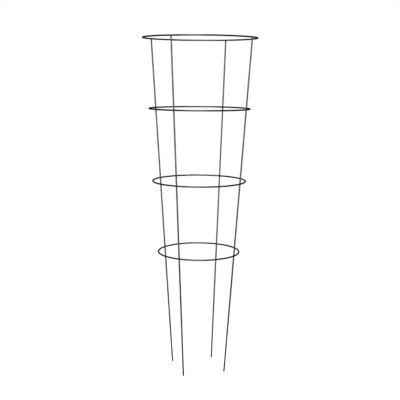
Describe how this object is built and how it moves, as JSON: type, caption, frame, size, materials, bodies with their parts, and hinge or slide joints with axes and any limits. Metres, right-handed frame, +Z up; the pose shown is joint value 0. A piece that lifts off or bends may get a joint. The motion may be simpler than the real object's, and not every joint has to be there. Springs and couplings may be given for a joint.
{
  "type": "tomato cage",
  "caption": "Conical tomato cage of welded galvanised wire: straight legs lean out from the ground, and round rings that widen upwards hold a plant upright.",
  "frame": {"origin": "on the ground, in the middle of the foot circle", "axes": "+Z up along the axis of the cone; the front faces -Y, and the legs stand at 45 degrees between X and Y"},
  "size_m": [0.4632, 0.4632, 1.373],
  "materials": {
    "galvanised_wire": "dull zinc, drawn along the wire",
    "weld_bead": "rough, scorched zinc"
  },
  "bodies": {
    "root": {"leg_front_left": "galvanised_wire", "leg_front_right": "galvanised_wire", "leg_back_left": "galvanised_wire", "leg_back_right": "galvanised_wire", "top_ring": "galvanised_wire", "upper_ring": "galvanised_wire", "lower_ring": "galvanised_wire", "bottom_ring": "galvanised_wire", "seam_top_ring": "weld_bead", "seam_upper_ring": "weld_bead", "seam_lower_ring": "weld_bead", "seam_bottom_ring": "weld_bead", "weld_top_front_left": "weld_bead", "weld_top_front_right": "weld_bead", "weld_top_back_left": "weld_bead", "weld_top_back_right": "weld_bead", "weld_upper_front_left": "weld_bead", "weld_upper_front_right": "weld_bead", "weld_upper_back_left": "weld_bead", "weld_upper_back_right": "weld_bead", "weld_lower_front_left": "weld_bead", "weld_lower_front_right": "weld_bead", "weld_lower_back_left": "weld_bead", "weld_lower_back_right": "weld_bead", "weld_bottom_front_left": "weld_bead", "weld_bottom_front_right": "weld_bead", "weld_bottom_back_left": "weld_bead", "weld_bottom_back_right": "weld_bead"}
  },
  "joints": []
}
